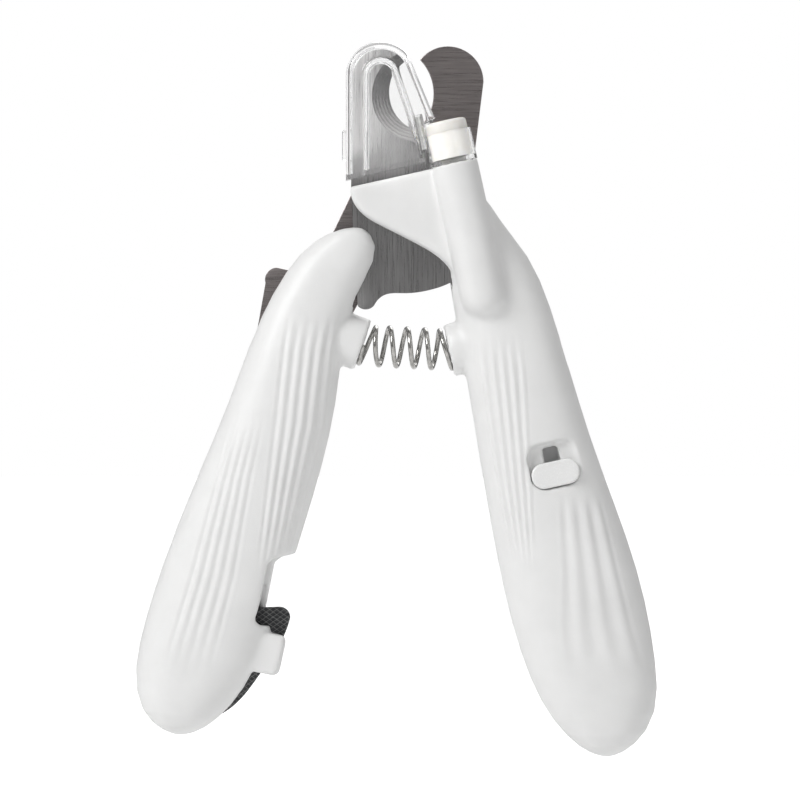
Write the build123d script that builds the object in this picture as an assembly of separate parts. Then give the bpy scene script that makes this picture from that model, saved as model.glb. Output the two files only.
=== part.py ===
from build123d import *
import os
from math import copysign, cos, pi, radians, sin, sqrt

# Pet nail trimmer: two crossed steel hook blades on one pivot, in hollow two-shell handles.
# Millimetres. +X is to the right, +Z is up towards the blades' tips, and the front faces -Y.
# Everything is drawn about the pivot's axis, midway between the two blades. The finished parts
# are then moved together, so that the origin is the middle of the object's box at its foot.

# Handles
TILT = 12.5                  # lean of the lamp and the head, degrees from vertical
SPLIT = 0.02                 # half the gap between a front shell and its rear shell
WALL = 1.8
LEFT_FOOT = (-49.6, -112.1)  # lowest point of each handle
RIGHT_FOOT = (40.3, -116.7)
FRONT_DEPTH = 9.5            # how far a handle's front stands from the split plane
REAR_DEPTH = 9.2
LEFT_SLIM = 0.66             # a handle's thinner top end, as a share of its full depth
RIGHT_SLIM = 0.62
REST_PLANE = 8.6             # the flat land on the handles' backs
FULLNESS = 2.5               # exponent of the handles' rounded sections
SECTION_POINTS = 12
STATIONS = 28

# Blades
BLADE = 2.0
BLADE_GAP = 0.05             # each blade's distance from the middle plane
BLADE_BACK = BLADE + BLADE_GAP
PIVOT_RADIUS = 2.5
PIVOT_CLEARANCE = 0.06
SWEEP_RADIUS = 25.9          # the front blade's lower lobe sweeps this circle about the pivot
HUB_RADIUS = 14.6            # room for the turning rear blade's hub

# Lamp
LAMP_ACROSS = 9.55           # lamp axis, measured across the tilted head
LAMP_Y = -7.0
LAMP_RADIUS = 4.9
LAMP_BORE = 4.1
LAMP_THROAT = 3.4            # bore of the sleeve's spigot
LAMP_LOW = -27.1
HEAD_TOP = 5.45              # along the tilted head
SLEEVE_TOP = 12.0
LENS_TOP = 14.4
LENS_RADIUS = 4.35

# Clear catcher and its hinge
HINGE_ACROSS = 4.1
HINGE_Y = -8.2
HINGE_LOW = 8.6
HINGE_HIGH = 16.8
HINGE_PIN = 0.5
KNUCKLE = 1.1
CATCHER_LOW = 6.95
CATCHER_FACE_Y = -8.5
CATCHER_BASE_Y = -2.2
CATCHER_WALL = 1.0

# Spring and its bosses
SPRING_REACH = 32.4          # the bosses' centres lie this far from the pivot
LEFT_BOSS_ANGLE = 250.4
RIGHT_BOSS_ANGLE = 282.5
BOSS_RADIUS = 5.6
BOSS_ROUNDING = 0.6
BOSS_LENGTH = 7.5
SEAT_RADIUS = 4.55           # ring-shaped seat that the spring's end coil sinks into
SEAT_DEPTH = 1.8
PEG_RADIUS = 3.2
COIL_RADIUS = 3.95
WIRE_RADIUS = 0.5

# Switch, placed across and along the tilted right handle
SWITCH_ACROSS = 16.1
SWITCH_ALONG = -60.4
SWITCH_WIDTH = 10.5
SWITCH_HEIGHT = 9.5
SWITCH_FLOOR = -7.4
KNOB_WIDTH = 10.1
KNOB_HEIGHT = 5.3
KNOB_ALONG = -62.3

# Battery bay
CELL_RADIUS = 5.8
CELL_THICKNESS = 5.4
CELLS = 3
BAY_CENTRE = (33.0, -85.5)
BAY_LEAN = 14.4              # lean of the cells' axis from vertical, degrees
DOOR_SCREW_SEAT = 7.2

# Nail file and its pin
FILE_PIN = (-47.3, -105.0)
FILE_PIN_RADIUS = 1.5
FILE_HALF = 0.75
FILE_SLOT = 0.9
FILE_REACH = 28.8            # radius of the slot that the file's tip sweeps
FILE_EYE_ROOM = 9.6          # radius of the slot round the file's eye
FILE_LOW = -3.0              # the folded file lies between these two angles about its pin
FILE_HIGH = 58.5
FILE_SWING = 135.0           # degrees, clockwise seen from the front
RECESS_STEP = 1.3            # the rear shell's notch is this much shallower than the front's
STOP_FRONT = 5.6             # how far the closing stub stands in front of the split plane

# Screws
SCREW_RADIUS = 1.0
SCREW_HEAD = 1.9
SCREW_TIP = -6.0
SCREW_SEAT = 4.0             # the depth at which the screws' heads bear on the rear shells
POST_RADIUS = 2.5
RIGHT_SCREWS = [(26.0, -31.0), (21.4, -70.0), (40.5, -107.5)]
LEFT_SCREWS = [(-27.5, -58.0), (-42.0, -66.5), (-52.0, -93.0)]
FRONT_BLADE_SCREWS = [(16.5, -15.0), (17.8, -29.5)]
WIRE_TURN = (13.4, -4.4, -26.0)    # where the lamp's leads pass into the handle's hollow
REAR_BLADE_SCREWS = [(-25.5, -31.0), (-31.0, -44.5)]


def place(across, along, y=0.0):
    """A point in the tilted frame of the right handle's head."""
    c, s = cos(radians(TILT)), sin(radians(TILT))
    return Vector(across * c - along * s, y, across * s + along * c)


def flat(across, along):
    """The same point in the sketch plane, as (x, z)."""
    point = place(across, along)
    return (point.X, point.Z)


def polar(radius, angle):
    """A point at a distance and angle from the pivot, as (x, z)."""
    return (radius * cos(radians(angle)), radius * sin(radians(angle)))


def slab(face, front, rear):
    """Extrude a face drawn in (x, z) between two depths, front < rear."""
    return extrude(Plane.XZ.offset(-rear) * face, amount=rear - front)


def disc(centre, radius, front, rear):
    return slab(Pos(centre[0], centre[1]) * Circle(radius), front, rear)


def rod(start, end, radius):
    """A straight round rod between two points."""
    direction = end - start
    return Solid.make_cylinder(radius, direction.length, Plane(start, z_dir=direction))


def closed_face(*edges):
    return make_face(list(edges))


def tilted_box(across, along, width, height, front, rear, corner=0.0):
    """A box squared to the tilted head, from its centre across and along it."""
    x, z = flat(across, along)
    face = RectangleRounded(width, height, corner) if corner else Rectangle(width, height)
    return slab(Pos(x, z) * Rot(0, 0, TILT) * face, front, rear)


# ---------------------------------------------------------------- handles

def left_outline():
    """Closed outline from the top, down the outer edge, and back up the inner edge."""
    return Spline(
        (-12.0, -5.8), (-20.4, -8.2), (-27.0, -15.2), (-38.9, -41.9), (-49.4, -67.2),
        (-56.8, -89.1), (-58.6, -99.4), (-56.2, -108.3), LEFT_FOOT, (-38.5, -105.8),
        (-31.6, -93.6), (-25.0, -73.9), (-16.6, -41.8), (-11.3, -18.7), (-8.4, -8.6),
        periodic=True)


def right_outline():
    """Closed outline from the top, down the inner edge, and back up the outer edge."""
    return Spline(
        (11.0, 1.6), (7.4, -5.0), (7.3, -17.0), (9.6, -30.5), (13.7, -54.7),
        (17.7, -77.1), (23.3, -98.0), (30.5, -110.9), RIGHT_FOOT, (48.9, -110.6),
        (50.4, -97.0), (46.2, -76.6), (37.6, -52.2), (30.3, -28.7), (23.6, -11.9), (17.2, -3.2),
        periodic=True)


def rounding(distance, reach):
    """1 on the body of a handle, falling to 0 along a quarter ellipse at its end."""
    inside = min(distance / reach, 1.0)
    return sqrt(1.0 - (1.0 - inside) ** 2)


def half_section(left, right, depth, past):
    """Half of a rounded section: depth is signed, and past carries the hollow over the split."""
    centre = (left + right) * 0.5
    across = (right - left).normalized()
    half = (right - left).length / 2
    points = []
    for k in range(SECTION_POINTS + 1):
        c = cos(pi * k / SECTION_POINTS)
        s = sin(pi * k / SECTION_POINTS)
        side = half * copysign(abs(c) ** (2 / FULLNESS), c)
        points.append(centre + across * side + Vector(0, depth * abs(s) ** (2 / FULLNESS), 0))
    first, last = points[0], points[-1]
    if past == 0:
        return Wire([Spline(*points), Line(last, first)])
    lift = Vector(0, past, 0)
    return Wire([Spline(*points), Line(last, last + lift), Line(last + lift, first + lift),
                 Line(first + lift, first)])


def depths(t, slim):
    """Front and rear depth of a handle at a fraction t of its length."""
    rise = min(t / 0.4, 1.0)
    grow = slim + (1.0 - slim) * rise * rise * (3 - 2 * rise)
    ends = rounding(t, 0.05) * rounding(1.0 - t, 0.12)
    return FRONT_DEPTH * grow * ends, REAR_DEPTH * grow * ends


def handle_half(outline, foot, slim, side, inset=0.0):
    """Front (side -1) or rear (side +1) half of a handle; with an inset, the hollow in it."""
    turn = outline.param_at_point(Vector(*foot))
    middle = [(1 - cos(pi * k / STATIONS)) / 2 for k in range(1, STATIONS)]
    stations = [t for t in middle if 0.07 < t < 0.96] if inset else [0.003] + middle + [0.998]
    wires = []
    for t in stations:
        a = outline @ (turn * t)
        b = outline @ (1 - (1 - turn) * t)
        a = Vector(a.X, side * SPLIT, a.Y)
        b = Vector(b.X, side * SPLIT, b.Y)
        step = (b - a).normalized() * inset
        depth = depths(t, slim)[0 if side < 0 else 1] - inset
        wires.append(half_section(a + step, b - step, side * depth, -side if inset else 0))
    return Solid.make_loft(wires, True)


def right_half(side, inset=0.0):
    return handle_half(right_outline(), RIGHT_FOOT, RIGHT_SLIM, side, inset)


def left_half(side, inset=0.0):
    return handle_half(left_outline(), LEFT_FOOT, LEFT_SLIM, side, inset)


def front_room():
    return Pos(0, -50 - SPLIT, -40) * Box(240, 100, 240)


def rear_room():
    return Pos(0, 50 + SPLIT, -40) * Box(240, 100, 240)


def boss(angle, towards):
    """Spring boss: its end face is radial to the pivot; towards is +1 if it faces anticlockwise."""
    x, z = polar(SPRING_REACH, angle)
    face = Vector(x, 0, z)
    out = Vector(-sin(radians(angle)), 0, cos(radians(angle))) * towards
    body = rod(face - out * BOSS_LENGTH, face, BOSS_RADIUS)
    body = fillet(body.edges().filter_by(GeomType.CIRCLE).sort_by_distance(face)[0], BOSS_ROUNDING)
    seat = rod(face - out * SEAT_DEPTH, face + out, SEAT_RADIUS)
    return body - (seat - rod(face - out * SEAT_DEPTH, face + out, PEG_RADIUS))


def post(centre, rear):
    """Screw post of a front shell, open at the split plane."""
    return disc(centre, POST_RADIUS, -FRONT_DEPTH, rear)


def pilot(centre):
    return disc(centre, SCREW_RADIUS + 0.02, -6.5, 1.0)


def counterbore(centre, seat):
    """Clearance hole through a rear shell, with a seat for the screw's head."""
    return disc(centre, SCREW_RADIUS + 0.15, -0.5, seat + 0.1) + disc(centre, SCREW_HEAD + 0.15, seat, 12)


def screws(centres, tip, seat):
    """A group of identical pan-head screws, driven from the rear."""
    group = []
    for centre in centres:
        screw = disc(centre, SCREW_RADIUS, tip, seat) + disc(centre, SCREW_HEAD, seat, seat + 1.3)
        slot = Pos(centre[0], seat + 1.3, centre[1]) * Box(2.6, 0.9, 0.5)
        cross = Pos(centre[0], seat + 1.3, centre[1]) * Box(0.5, 0.9, 2.6)
        group.append(screw - slot - cross)
    return Compound(children=group)


def right_shell_screws():
    return screws(RIGHT_SCREWS, SCREW_TIP, SCREW_SEAT)


def left_shell_screws():
    return screws(LEFT_SCREWS, SCREW_TIP, SCREW_SEAT)


def front_blade_screws():
    return screws(FRONT_BLADE_SCREWS, SCREW_TIP, SCREW_SEAT)


def rear_blade_screws():
    return screws(REAR_BLADE_SCREWS, SCREW_TIP, SCREW_SEAT)


# ---------------------------------------------------------------- blades

def front_blade_outline():
    hook = (-7.1, 25.2)
    tip = (-2.09, 29.02)
    return closed_face(
        ThreePointArc((hook[0] - 6.3, hook[1]), (hook[0] - 1.5, hook[1] + 6.12), tip),
        ThreePointArc(tip, (-5.35, 22.5), (-1.2, 15.4)),
        Polyline((-1.2, 15.4), (-0.15, 16.7), (6.0, 12.4), (9.4, 6.0), (12.6, -6.0)),
        Polyline((12.6, -6.0), (19.0, -15.5), (20.0, -33.0), (12.6, -33.0), (10.0, -22.0), (7.4, -17.4)),
        Spline((7.4, -17.4), (3.2, -18.9), (-2.1, -19.6), (-5.5, -19.7), (-8.6, -22.2)),
        ThreePointArc((-8.6, -22.2), (-10.5, -23.0), (-12.0, -22.3)),
        Polyline((-12.0, -22.3), (-13.0, -5.9), (-13.4, 2.1), (-13.4, 25.2)))


def front_blade():
    blade = slab(front_blade_outline(), -BLADE_BACK, -BLADE_GAP)
    cut_low = Plane.XZ.offset(0.3) * Pos(2.8, 22.5) * Circle(8.15)
    cut_high = Plane.XZ.offset(2.5) * Pos(-0.2, 21.6) * Circle(10.0)
    blade -= Solid.make_loft([cut_low.face().outer_wire(), cut_high.face().outer_wire()], True)
    blade -= disc((0, 0), PIVOT_RADIUS + 0.02, -3, 1)
    for centre in FRONT_BLADE_SCREWS:
        blade -= disc(centre, SCREW_RADIUS + 0.15, -3, 1)
    return blade


def rear_blade_outline():
    hook = (6.9, 24.8)
    tip = (1.1, 29.5)
    return closed_face(
        ThreePointArc(tip, (hook[0] + 1.0, hook[1] + 7.43), (hook[0] + 7.5, hook[1])),
        Polyline((hook[0] + 7.5, hook[1]), (12.7, 11.0), (12.4, 0.0), (8.6, -8.6), (-3.0, -14.0),
                 (-11.0, -20.0), (-14.0, -25.5), (-22.5, -51.0), (-37.0, -48.0), (-33.4, -28.8),
                 (-31.4, -17.4)),
        ThreePointArc((-31.4, -17.4), (-31.0, -15.2), (-29.0, -14.2)),
        Polyline((-29.0, -14.2), (-21.8, -15.8), (-17.2, -6.7), (-13.7, 0.6), (-9.0, 8.0), (-0.9, 13.75)),
        ThreePointArc((-0.9, 13.75), (3.9, 22.1), tip))


def rear_blade():
    blade = slab(rear_blade_outline(), BLADE_GAP, BLADE_BACK)
    blade -= disc((0, 0), PIVOT_RADIUS + PIVOT_CLEARANCE, -1, 3)
    for centre in REAR_BLADE_SCREWS:
        blade -= disc(centre, SCREW_RADIUS + 0.15, -1, 3)
    return blade


def pivot_screw():
    """Low-headed shoulder screw through both blades, headed under the front shell."""
    screw = disc((0, 0), PIVOT_RADIUS, -2.5, 5.2) + disc((0, 0), 4.0, -3.4, -BLADE_BACK - 0.01)
    return chamfer(screw.edges().filter_by(GeomType.CIRCLE).sort_by(Axis.Y)[-1], 0.4)


def pivot_washer():
    return disc((0, 0), 4.6, BLADE_BACK + 0.05, 2.6) - disc((0, 0), PIVOT_RADIUS + 0.05, 0, 5)


def pivot_nut():
    nut = slab(RegularPolygon(4.0, 6), 2.65, 4.7) - disc((0, 0), PIVOT_RADIUS + 0.01, 0, 8)
    return nut & (Pos(0, 3.6, 0) * Rot(90, 0, 0) * Cone(3.4, 4.6, 2.4))


# ---------------------------------------------------------------- right handle

def head_outline():
    """The white cover over the head and the handle's shoulder, down to the spring boss."""
    return closed_face(
        Line(flat(-12.6, HEAD_TOP), flat(14.3, HEAD_TOP)),
        Polyline(flat(14.3, HEAD_TOP), flat(14.3, -4.0), (18.5, -14.0), (12.0, -24.0), (9.0, -18.5)),
        Spline((9.0, -18.5), (5.2, -12.4), (-0.1, -9.1), (-6.6, -5.8), (-11.1, -3.0), (-13.1, -0.2),
               flat(-12.6, HEAD_TOP)))


def lamp_tube(radius, low, high):
    return rod(place(LAMP_ACROSS, low, LAMP_Y), place(LAMP_ACROSS, high, LAMP_Y), radius)


def switch_room():
    """The recess in the front, with rounded corners."""
    return tilted_box(SWITCH_ACROSS, SWITCH_ALONG, SWITCH_WIDTH, SWITCH_HEIGHT, -14, SWITCH_FLOOR, 3.0)


def bay_box(width, length, front, rear, corner=0.0):
    """A box squared to the button cells' axis."""
    face = RectangleRounded(width, length, corner) if corner else Rectangle(width, length)
    return slab(Pos(*BAY_CENTRE) * Rot(0, 0, BAY_LEAN) * face, front, rear)


def bay_axis(distance):
    """A point on the cells' axis, measured upwards from the bay's centre."""
    lean = radians(BAY_LEAN)
    return Vector(BAY_CENTRE[0] - distance * sin(lean), 0, BAY_CENTRE[1] + distance * cos(lean))


def door_outline(grow):
    return RectangleRounded(14.0 + grow, 25.0 + grow, 3.0)


def door_face(grow):
    return Pos(*BAY_CENTRE) * Rot(0, 0, BAY_LEAN) * door_outline(grow)


def right_front_shell():
    head = slab(head_outline(), -4.9, -BLADE_BACK - 0.03)
    head = fillet(head.edges().group_by(Axis.Y)[0], 1.0)
    tube = lamp_tube(LAMP_RADIUS, LAMP_LOW, HEAD_TOP)
    tube = fillet(tube.edges().filter_by(GeomType.CIRCLE).sort_by(Axis.Z)[0], 4.0)
    shell = right_half(-1) + head + tube + (boss(RIGHT_BOSS_ANGLE, -1) & front_room())
    cavity = right_half(-1, WALL)
    cavity -= tilted_box(SWITCH_ACROSS, SWITCH_ALONG, 13.5, 12.5, -12, SWITCH_FLOOR + 1.4, 4.0)
    for centre in RIGHT_SCREWS + FRONT_BLADE_SCREWS:
        cavity -= post(centre, 12)
    shell -= cavity
    shell -= switch_room()
    shell -= tilted_box(SWITCH_ACROSS, SWITCH_ALONG, 3.2, 7.6, -14, 0)
    # the front blade and its pivot screw lie in a pocket of the blade's own thickness
    shell -= slab(Pos(-10, -14) * Rectangle(60, 44), -BLADE_BACK - 0.03, 1) & (
        slab(offset(front_blade_outline(), 0.15), -3, 1) + disc((0, 0), 12.0, -3, 1))
    shell -= slab(Pos(-20, -8) * Rectangle(40, 60), -BLADE_BACK - 0.03, 1)
    shell -= disc((0, 0), 4.25, -3.6, 0)
    shell -= lamp_tube(LAMP_BORE, -14.0, HEAD_TOP + 5)
    shell -= rod(place(LAMP_ACROSS, -13.0, LAMP_Y), Vector(*WIRE_TURN), 2.1)
    for centre in RIGHT_SCREWS + FRONT_BLADE_SCREWS:
        shell -= pilot(centre)
    return shell.solids().sort_by(SortBy.VOLUME)[-1]


def right_rear_shell():
    shell = right_half(1) + (boss(RIGHT_BOSS_ANGLE, -1) & rear_room())
    cavity = right_half(1, WALL)
    for centre in RIGHT_SCREWS + FRONT_BLADE_SCREWS:
        cavity -= disc(centre, 3.4, 1.0, 12)
    shell -= cavity
    shell -= disc((0, 0), HUB_RADIUS, -1, 12)
    shell -= Pos(0, REST_PLANE + 10, -60) * Box(200, 20, 200)
    shell -= slab(door_face(0.3), 5.0, 12)
    for centre in RIGHT_SCREWS + FRONT_BLADE_SCREWS:
        shell -= counterbore(centre, SCREW_SEAT)
    return shell.solids().sort_by(SortBy.VOLUME)[-1]


def lamp_sleeve():
    """Clear ring on the lamp tube, with the lug that holds the catcher's hinge pin."""
    ring = lamp_tube(LAMP_RADIUS + 0.05, HEAD_TOP + 0.02, SLEEVE_TOP)
    ring += lamp_tube(LAMP_BORE - 0.02, HEAD_TOP - 2.5, HEAD_TOP + 1)
    lug = rod(place(HINGE_ACROSS, HINGE_LOW, HINGE_Y), place(HINGE_ACROSS, SLEEVE_TOP, HINGE_Y), 1.05)
    web = tilted_box(HINGE_ACROSS + 1.2, (HINGE_LOW + SLEEVE_TOP) / 2, 2.4, SLEEVE_TOP - HINGE_LOW,
                     HINGE_Y - 0.5, HINGE_Y + 0.9)
    ring = ring + lug + web
    ring -= lamp_tube(LAMP_THROAT, -10, 20)
    ring -= lamp_tube(LENS_RADIUS + 0.02, HEAD_TOP + 1.0, 20)
    ring -= rod(place(HINGE_ACROSS, HINGE_LOW + 0.8, HINGE_Y), place(HINGE_ACROSS, 20, HINGE_Y),
                HINGE_PIN)
    return ring.solids().sort_by(SortBy.VOLUME)[-1]


def lamp_lens():
    """Frosted plug with a softly crowned end and a pocket for the lamp's dome."""
    lens = lamp_tube(LENS_RADIUS, HEAD_TOP + 1.02, LENS_TOP)
    lens = fillet(lens.edges().filter_by(GeomType.CIRCLE).sort_by(Axis.Z)[-1], 0.7)
    return lens - lamp_tube(2.7, 0, HEAD_TOP + 5.0)


def lamp_led():
    body = lamp_tube(2.5, 1.05, HEAD_TOP + 4.5)
    body = fillet(body.edges().filter_by(GeomType.CIRCLE).sort_by(Axis.Z)[-1], 2.3)
    return body + lamp_tube(2.9, 1.05, 2.1)


def lamp_board():
    return lamp_tube(LAMP_BORE - 0.1, 0.0, 1.0)


def lamp_wires():
    """Two insulated leads from the lamp down to the switch."""
    wires = []
    turn = Vector(*WIRE_TURN)
    for side in (-0.6, 0.6):
        path = Spline(
            place(LAMP_ACROSS + side, -0.05, LAMP_Y), place(LAMP_ACROSS + side, -12, LAMP_Y),
            turn + Vector(side, 0, 0), Vector(15.4 + side, -3.5, -38.0),
            place(SWITCH_ACROSS + side * 3, SWITCH_ALONG + 7.7, -3.6))
        wires.append(sweep(Plane(path @ 0, z_dir=path % 0) * Circle(0.4), path=path))
    return Compound(children=wires)


def switch_body():
    body = tilted_box(SWITCH_ACROSS, SWITCH_ALONG, 7.0, 14.6, -5.8, -1.4)
    body -= tilted_box(SWITCH_ACROSS, SWITCH_ALONG, 2.8, 7.4, -8, -4.4)
    for along in (-4.6, 0, 4.6):
        body += tilted_box(SWITCH_ACROSS, SWITCH_ALONG + along, 0.6, 1.2, -1.5, 0.6)
    return body


def switch_knob():
    """Sliding knob with its stem through the recess's floor, at the off end of its travel."""
    knob = tilted_box(SWITCH_ACROSS, KNOB_ALONG, KNOB_WIDTH, KNOB_HEIGHT, -9.9, SWITCH_FLOOR - 0.1, 2.5)
    knob = fillet(knob.edges().group_by(Axis.Y)[0], 0.5)
    return knob + tilted_box(SWITCH_ACROSS, KNOB_ALONG, 2.4, 2.6, -8, -4.6)


def battery_cells():
    cells = []
    for k in range(CELLS):
        low = bay_axis((k - CELLS / 2) * CELL_THICKNESS + 0.05)
        high = bay_axis((k + 1 - CELLS / 2) * CELL_THICKNESS - 0.05)
        cell = rod(low, high, CELL_RADIUS)
        cells.append(chamfer(cell.edges().filter_by(GeomType.CIRCLE), 0.4))
    return Compound(children=cells)


def battery_contacts():
    """A flat plate at the lower end and a coned spring at the upper end of the cells."""
    end = CELLS * CELL_THICKNESS / 2
    plate = rod(bay_axis(-end - 0.55), bay_axis(-end - 0.1), 4.6)
    spring_plate = rod(bay_axis(end + 2.4), bay_axis(end + 2.85), 4.2)
    cone = Solid.make_cone(3.4, 1.8, 2.2, Plane(bay_axis(end + 2.4), z_dir=bay_axis(0) - bay_axis(1)))
    hollow = Solid.make_cone(2.9, 1.3, 2.3, Plane(bay_axis(end + 2.4), z_dir=bay_axis(0) - bay_axis(1)))
    return Compound(children=[plate, spring_plate + (cone - hollow)])


def battery_tray():
    """Trough that carries the cells from the front, with an end wall at each contact."""
    end = CELLS * CELL_THICKNESS / 2
    tray = bay_box(14.4, 2 * end + 9.0, -7.1, -0.2) - bay_box(12.0, 2 * end + 7.4, -5.0, 4)
    tray -= rod(bay_axis(-end - 1.2), bay_axis(end + 3.2), CELL_RADIUS + 0.15)
    tray &= right_half(-1, WALL + 0.15)
    return tray.solids().sort_by(SortBy.VOLUME)[-1]


def battery_door():
    """Lid over the cells, flush with the flat land on the handle's back."""
    door = slab(door_face(0), 6.6, REST_PLANE) & right_half(1)
    for k in range(5):
        rib = Pos(*tuple(bay_axis(7.0 - 1.6 * k))) * Rot(0, -BAY_LEAN, 0) * Box(7.0, 0.6, 0.7)
        door -= Pos(0, REST_PLANE, 0) * rib
    spot = bay_axis(-10.0)
    door -= disc((spot.X, spot.Z), SCREW_HEAD + 0.15, DOOR_SCREW_SEAT, 12)
    door -= disc((spot.X, spot.Z), SCREW_RADIUS + 0.1, 0, 12)
    return door.solids().sort_by(SortBy.VOLUME)[-1]


def battery_door_screw():
    spot = bay_axis(-10.0)
    return screws([(spot.X, spot.Z)], 3.0, DOOR_SCREW_SEAT)


def catcher_hinge_pin():
    return rod(place(HINGE_ACROSS, HINGE_LOW + 0.85, HINGE_Y), place(HINGE_ACROSS, HINGE_HIGH - 0.4, HINGE_Y),
               HINGE_PIN - 0.01)


def return_spring():
    """Compression coil with its axis along X, between the two bosses' pegs."""
    start, end, turns = -8.2, 4.7, 4.5
    centre_z = -30.7
    helix = Helix((end - start) / turns, end - start, COIL_RADIUS)
    wire = Plane(Vector(start, 0, centre_z), z_dir=(1, 0, 0)) * helix
    return sweep(Plane(wire @ 0, z_dir=wire % 0) * Circle(WIRE_RADIUS), path=wire, is_frenet=True)


# ---------------------------------------------------------------- nail catcher

def catcher_wires(grow, low, right_top, right_low):
    """A hook-shaped outline: left side, round top, and a right edge down to the lamp."""
    centre = (-7.1, 25.6)
    radius = 7.35 - grow
    left_x = centre[0] - radius
    top = polar(radius, 52)
    shoulder = (centre[0] + top[0], centre[1] + top[1])
    crown = polar(radius, 110)
    left_low = (left_x, (low + left_x * sin(radians(TILT))) / cos(radians(TILT)))
    return Wire([
        Line(left_low, (left_x, centre[1])),
        ThreePointArc((left_x, centre[1]), (centre[0] + crown[0], centre[1] + crown[1]), shoulder),
        Line(shoulder, right_top),
        Line(right_top, right_low),
        Line(right_low, left_low)])


def nail_catcher():
    """Clear hinged cover: a raised window, sloping sides, a finger tab and a hinge knuckle."""
    outer = solid_between(catcher_wires(0, CATCHER_LOW, (3.7, 16.9), flat(3.9, CATCHER_LOW)),
                          catcher_wires(2.6, CATCHER_LOW, (0.7, 16.2), flat(3.9, CATCHER_LOW)),
                          CATCHER_BASE_Y, CATCHER_FACE_Y)
    inner = solid_between(catcher_wires(1.0, CATCHER_LOW + 1.0, (2.6, 17.0), flat(2.8, CATCHER_LOW + 1.0)),
                          catcher_wires(3.6, CATCHER_LOW + 1.0, (-0.3, 16.2), flat(2.8, CATCHER_LOW + 1.0)),
                          CATCHER_BASE_Y + 0.01, CATCHER_FACE_Y + CATCHER_WALL)
    shell = outer - inner
    shell -= slab(Pos(6.0, 24.0) * Rectangle(14, 20), -3.3, 0)
    tab = slab(Pos(-14.3, 11.2) * RectangleRounded(1.9, 6.6, 0.9), -4.6, -2.6)
    shell += tab
    knuckle_low = SLEEVE_TOP + 0.1
    shell -= rod(place(HINGE_ACROSS, 0, HINGE_Y), place(HINGE_ACROSS, knuckle_low, HINGE_Y), 1.6)
    shell -= lamp_tube(LAMP_RADIUS + 0.35, 0, LENS_TOP + 0.5)
    shell += rod(place(HINGE_ACROSS, knuckle_low, HINGE_Y), place(HINGE_ACROSS, HINGE_HIGH, HINGE_Y), KNUCKLE)
    shell -= rod(place(HINGE_ACROSS, 0, HINGE_Y), place(HINGE_ACROSS, HINGE_HIGH - 0.3, HINGE_Y),
                 HINGE_PIN + 0.04)
    return shell.solids().sort_by(SortBy.VOLUME)[-1]


def solid_between(base, face, base_y, face_y):
    """Ruled loft between two outlines drawn in (x, z) at two depths."""
    low = Plane.XZ.offset(-base_y) * base
    high = Plane.XZ.offset(-face_y) * face
    return Solid.make_loft([low, high], True)


# ---------------------------------------------------------------- left handle

def file_outline(grow=0.0):
    """Hooked plate: a round eye on the pin and a bowed working edge."""
    shape = closed_face(
        Polyline((-34.6, -85.6), (-28.4, -85.4)),
        ThreePointArc((-28.4, -85.4), (-26.8, -86.1), (-26.2, -87.8)),
        Spline((-26.2, -87.8), (-28.5, -93.5), (-32.3, -99.2), (-37.0, -105.2), (-43.8, -109.2)),
        ThreePointArc((-43.8, -109.2), (-51.0, -107.6), (-50.2, -101.4)),
        Spline((-50.2, -101.4), (-41.5, -95.5), (-34.6, -85.6)))
    return offset(shape, grow) if grow else shape


def file_sweep():
    """Slot that the file needs as it swings clockwise about its pin."""
    low, high = FILE_LOW - FILE_SWING, FILE_HIGH
    arc = []
    for angle in (high, (low + high) / 2, low):
        x, z = polar(FILE_REACH, angle)
        arc.append((FILE_PIN[0] + x, FILE_PIN[1] + z))
    sector = closed_face(Polyline(arc[2], FILE_PIN, arc[0]), ThreePointArc(*arc))
    return slab(sector, -FILE_SLOT, FILE_SLOT) + disc(FILE_PIN, FILE_EYE_ROOM, -FILE_SLOT, FILE_SLOT)


def finger_recess(shift=0.0):
    """Notch in the inner edge that uncovers the file's corner; a shift makes it shallower."""
    notch = closed_face(
        Polyline((-20.0, -73.0), (-25.0, -73.95), (-29.4, -75.0), (-30.9, -76.2), (-32.7, -85.5)),
        Polyline((-32.7, -85.5), (-33.5, -87.9), (-32.6, -89.0), (-30.2, -89.4), (-27.8, -90.2)),
        Polyline((-27.8, -90.2), (-18.0, -88.0), (-20.0, -73.0)))
    return slab(Pos(shift, 0) * notch, -14, 14)


def closing_stop():
    """Rounded stub on the inner edge that meets the other handle when the blades are shut."""
    block = Pos(-31.3, -94.9) * Rot(0, 0, -12.0) * RectangleRounded(7.4, 8.6, 1.4)
    stub = slab(block, -STOP_FRONT, -FILE_SLOT)
    return fillet(stub.edges().group_by(Axis.Y)[0], 1.0)


def left_cavity(side):
    """Hollow of a left shell, kept clear of the wall round the finger recess."""
    wall = slab(Pos(-29.2, -82.0) * Rot(0, 0, 14) * Rectangle(8.5, 18.0), -14, 14)
    return left_half(side, WALL) - wall


def tang_pocket():
    """Room for the rear blade's tang where it leaves the handle at the split plane."""
    return slab(offset(rear_blade_outline(), 0.12), 0.0, BLADE_BACK + 0.12)


def left_front_shell():
    shell = left_half(-1) + (boss(LEFT_BOSS_ANGLE, 1) & front_room())
    cavity = left_cavity(-1)
    for centre in LEFT_SCREWS + REAR_BLADE_SCREWS:
        cavity -= post(centre, 12)
    cavity -= disc(FILE_PIN, 3.4, -12, -FILE_SLOT)
    shell -= cavity
    shell -= finger_recess()
    shell += closing_stop()
    shell -= disc((0, 0), SWEEP_RADIUS, -BLADE_BACK - 0.12, 1)
    shell -= file_sweep()
    shell -= disc(FILE_PIN, FILE_PIN_RADIUS + 0.01, -5.0, 1)
    for centre in LEFT_SCREWS + REAR_BLADE_SCREWS:
        shell -= pilot(centre)
    return shell.solids().sort_by(SortBy.VOLUME)[-1]


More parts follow.
